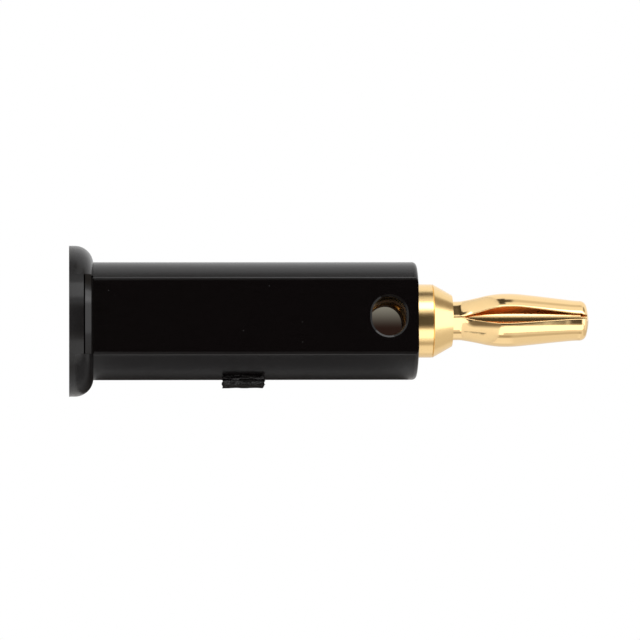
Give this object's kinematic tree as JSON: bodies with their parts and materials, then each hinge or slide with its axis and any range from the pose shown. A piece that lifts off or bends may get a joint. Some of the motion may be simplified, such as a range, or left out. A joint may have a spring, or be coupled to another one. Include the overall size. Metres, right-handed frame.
{
  "type": "stackable banana plug",
  "caption": "Solderless banana plug: black flatted body with rear flange, socket and recess, cross hole for the wire clamped by a hidden screw, and a gilt collar with a sprung leaf tip.",
  "frame": {"origin": "centre of the flange's flat rear face, on which the plug stands", "axes": "+Z along the plug's axis towards the sprung tip, flats facing -Y and +Y, torn gate on +X"},
  "size_m": [0.013, 0.013, 0.0446],
  "materials": {
    "black_nylon": "moulded black nylon, satin on the round sides and polished on the flats",
    "plated_brass": "turned brass, gold plated, bright",
    "plated_spring": "rolled spring sheet, gold plated, bright",
    "screw_steel": "plated set screw"
  },
  "bodies": {
    "plug": {"insulating_body": "black_nylon", "contact_core": "plated_brass", "contact_spring": "plated_spring"},
    "screw": {"clamp_screw": "screw_steel"}
  },
  "joints": [
    {"name": "screw_advance", "type": "slide", "parent": "plug", "child": "screw", "axis": [0, 0, 1], "range_m": [-0.0045, 0.003]}
  ]
}
